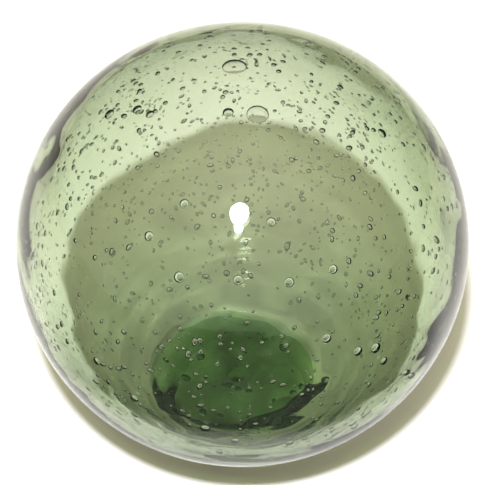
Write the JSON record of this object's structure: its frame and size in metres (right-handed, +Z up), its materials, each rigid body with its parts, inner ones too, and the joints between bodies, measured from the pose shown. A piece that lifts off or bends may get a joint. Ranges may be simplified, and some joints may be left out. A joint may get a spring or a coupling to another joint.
{
  "type": "glass float ball",
  "caption": "Hand-blown round glass net float: a hollow sealed ball of bubbly pale green glass, standing on the flat of its thick seal button.",
  "frame": {"origin": "on the standing plane, under the ball's centre", "axes": "+Z up through the ball's crown, away from the seal; -Y faces the viewer of the picture"},
  "size_m": [0.0998, 0.1003, 0.0967],
  "materials": {
    "ball_glass": "clear sea green with small bubbles, glossy and slightly uneven",
    "seal_glass": "the same glass, thick enough to look bottle green"
  },
  "bodies": {
    "root": {"blown_ball": "ball_glass", "seal_button": "seal_glass"}
  },
  "joints": []
}
